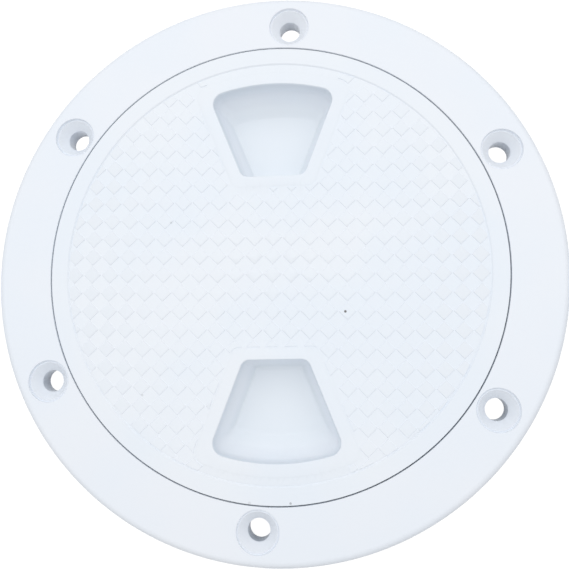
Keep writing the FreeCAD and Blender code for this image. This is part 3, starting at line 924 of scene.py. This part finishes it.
# %% Tread tree
sizes = {"Pitch": "Float", "Reach": "Float", "Turn": "Float", "Shift": "Vector"}
sizes.update({"Count": "Int", "Material": "Material"})
graph, inputs = geometry_tree("tread", sizes)
span = inputs["Pitch"] * (inputs["Count"] - 1)
count = inputs["Count"]
sockets = {"Size X": span, "Size Y": span, "Vertices X": count, "Vertices Y": count}
grid = graph.node("GeometryNodeMeshGrid", None, sockets)
rotation = graph.node("ShaderNodeCombineXYZ", None, {"Z": inputs["Turn"]})
sockets = {"Geometry": grid, "Translation": inputs["Shift"], "Rotation": rotation}
grid = graph.node("GeometryNodeTransform", None, sockets)
place = graph.node("GeometryNodeInputPosition")
settings, sockets = {"operation": "GREATER_THAN"}, {0: length(graph, place), 1: inputs["Reach"]}
outside = graph.node("FunctionNodeCompare", settings, sockets)
settings, sockets = {"domain": "POINT"}, {"Geometry": grid, "Selection": outside}
grid = graph.node("GeometryNodeDeleteGeometry", settings, sockets)
sockets = {"Points": grid, "Instance": inputs["Geometry"], "Rotation": rotation}
pads = graph.node("GeometryNodeInstanceOnPoints", None, sockets)
TREAD = leave(graph, pads, inputs["Material"])

# %% [markdown]
# One pad is a square on its corner. Its corners stop just short of the next pads', also at
# the foot of its flanks, because a Boolean can't work on solids that touch each other. So
# close together, their lower edges join up into the zigzag lines of the photograph.

# %% Raised squares
PITCH = 4.537
LAND = 0.24
FLANK = 0.19
TREAD_DEPTH = 0.17
TREAD_REACH = 54.0
TREAD_TURN = math.radians(-1.2)
TREAD_SHIFT = (-0.3, 2.5, 0.0)
TREAD_COUNT = 27


def square_ring(half, height):
    return [(half, 0, height), (0, half, height), (-half, 0, height), (0, -half, height)]


half = PITCH / 2 - LAND
ground_height = TOP - TREAD_DEPTH
levels = [
    (half + FLANK, ground_height - 0.1),
    (half + FLANK, ground_height),
    (half + 0.03, TOP - 0.03),
    (half - 0.05, TOP),
    (half - 0.05, TOP + 0.4),
]
square = loft("tread_squares", [square_ring(h, z) for h, z in levels])
squares = grow(
    square,
    TREAD,
    Pitch=PITCH,
    Reach=TREAD_REACH,
    Turn=TREAD_TURN,
    Shift=TREAD_SHIFT,
    Count=TREAD_COUNT,
    Material=cover_white,
)

# %% [markdown]
# The squares end a little before the ground does, so a sunk line runs round the whole field
# and round the plain border of each recess. Between a border and the rim there is no room
# for squares, and only the ground is left. Corners of squares that the edges would leave as
# slivers are dropped, because no toolmaker would cut them. The ground's outer edge has a
# shallow groove, which draws the thin dark circle round the field.

# %% Field of squares and sunk ground
BORDERS = (2.9, 2.5, 2.9)
CHANNEL = 0.6
FIELD_EDGE = 52.3
EDGE_SLOPE = 0.3 / TREAD_DEPTH
# Inner and outer radius, and half the angle, of the strip without squares at each recess.
FREE_STRIP = (49.9, 53.0, math.radians(19.5))
GROOVE = 0.12
GROOVE_BEGINS, GROOVE_DEEPEST = 0.7, 0.35
# The smallest part of a square that is kept, in squares of its half diagonal.
SLIVER = 0.15


def border(name, extra, bottom, top, slope):
    """A solid round each recess, as wide as the plain border at the cover's top."""
    levels = []
    for height in (bottom, top):
        wider = extra + slope * (height - TOP)
        levels.append((height, [-(width + wider) for width in BORDERS]))
    return repeated(fan_loft(name, levels, RECESS, CORNERS), 2, cover_white)


def strip(name, low, high, angle, bottom, top):
    """A piece of a flat ring, centred on the +Y axis."""
    start, end = math.pi / 2 - angle, math.pi / 2 + angle
    outline = arc((0.0, 0.0), high, start, end, 24) + arc((0.0, 0.0), low, end, start, 24)
    return loft(name, [[(x, y, z) for x, y in outline] for z in (bottom, top)])


def without_slivers(piece, smallest):
    """Drop the loose parts of a piece whose flat tops are smaller than an area."""
    shape = bmesh.new()
    shape.from_mesh(piece.data)
    seen, dropped = set(), []
    for first in shape.faces:
        if first in seen:
            continue
        part, queue = [], [first]
        seen.add(first)
        while queue:
            face = queue.pop()
            part.append(face)
            for edge in face.edges:
                fresh = [near for near in edge.link_faces if near not in seen]
                seen.update(fresh)
                queue += fresh
        if sum(face.calc_area() for face in part if face.normal.z > 0.99) < smallest:
            dropped += part
    bmesh.ops.delete(shape, geom=dropped, context="FACES")
    shape.to_mesh(piece.data)
    shape.free()
    return piece


low, high = ground_height - 0.3, TOP + 0.6
edge = FIELD_EDGE - CHANNEL
field = lathe("field", [(0, low), (edge + 0.1, low), (edge - 0.1, high), (0, high)])
strips = repeated(strip("strips", *FREE_STRIP, low - 0.2, high + 0.2), 2, cover_white)
keep_out = border("keep_out", CHANNEL, low - 0.1, high + 0.1, 0.2)
field = carve(field, [("DIFFERENCE", keep_out), ("DIFFERENCE", strips)])
squares = without_slivers(carve(squares, [("INTERSECT", field)]), SLIVER * half * half)

ground_outline = [
    (0, ground_height),
    (FIELD_EDGE - GROOVE_BEGINS, ground_height),
    (FIELD_EDGE - GROOVE_DEEPEST, ground_height - GROOVE),
    (FIELD_EDGE, TOP),
    (FIELD_EDGE + 0.1, TOP + 0.2),
    (0, TOP + 0.2),
]
plateau = border("plateau", 0.0, ground_height - 0.1, TOP + 0.3, -EDGE_SLOPE)
steps = [("DIFFERENCE", plateau), ("DIFFERENCE", squares)]
ground = carve(lathe("ground", ground_outline), steps)

# %% [markdown]
# ## The cover
# The disc, its rim and the skirt are one turned outline. Cups, ribs and thread are joined to
# it, then the recesses and the relief are cut. It comes to rest a little past straight, as
# in the photograph, so the whole cover is turned by that angle about the axis.

# %% Cover
COVER_TURN = math.radians(0.85)
COVER_RADIUS = 56.3
SKIRT_INNER, SKIRT_OUTER = 48.8, 51.2
SKIRT_END = -12.5
DISC_UNDERSIDE, RIM_UNDERSIDE = 3.9, 3.7
LONG_RIB = ((-49.4, -1.05, -1.1), (49.4, 1.05, 4.6))
SHORT_RIB = ((-1.05, -23.3, -1.05), (1.05, 23.3, 4.55))
RIB_TAPER = 0.12
COVER_OUTLINE = [
    (0.0, DISC_UNDERSIDE, 0.0),
    (SKIRT_INNER, DISC_UNDERSIDE, 0.9),
    (SKIRT_INNER, SKIRT_END, 0.4),
    (SKIRT_OUTER, SKIRT_END, 0.6),
    (SKIRT_OUTER, RIM_UNDERSIDE, 0.3),
    (COVER_RADIUS, RIM_UNDERSIDE, 0.2),
    (COVER_RADIUS, TOP, 0.2),
    (0.0, TOP, 0.0),
]
cover = lathe("cover_moulding", rounded(COVER_OUTLINE))
long_rib = box_loft("long_rib", *LONG_RIB, RIB_TAPER)
short_rib = box_loft("short_rib", *SHORT_RIB, RIB_TAPER)
cover_thread = thread(
    "cover_thread", SKIRT_OUTER, outwards=True, bottom=-10.7, turns=1.1, material=cover_white
)
cover = carve(
    cover,
    [
        ("UNION", cups),
        ("UNION", long_rib),
        ("UNION", short_rib),
        ("UNION", cover_thread),
        ("DIFFERENCE", recesses),
        ("DIFFERENCE", ground),
    ],
)
cover.data.transform(Matrix.Rotation(COVER_TURN, 4, "Z"))
cover = finish_piece(cover, cover_white, "cover", "cover")

# %% [markdown]
# ## The seal
# A flat rubber ring lies on the ledge and is pressed by the cover's rim. It is cut from
# sheet, so its section is a plain rectangle with edges that are only just broken. It rides
# on the body that slides, so it rises with the cover and doesn't turn.

# %% Seal
SEAL_INNER, SEAL_OUTER = 51.35, 56.0
SEAL_EDGE = 0.12
SEAL_OUTLINE = [
    (SEAL_INNER, LEDGE, SEAL_EDGE),
    (SEAL_OUTER, LEDGE, SEAL_EDGE),
    (SEAL_OUTER, RIM_UNDERSIDE, SEAL_EDGE),
    (SEAL_INNER, RIM_UNDERSIDE, SEAL_EDGE),
]
seal = lathe("rubber_seal", rounded(SEAL_OUTLINE, 30.0))
seal = finish_piece(seal, seal_black, "lifting_seal", "seal_ring")

# %% [markdown]
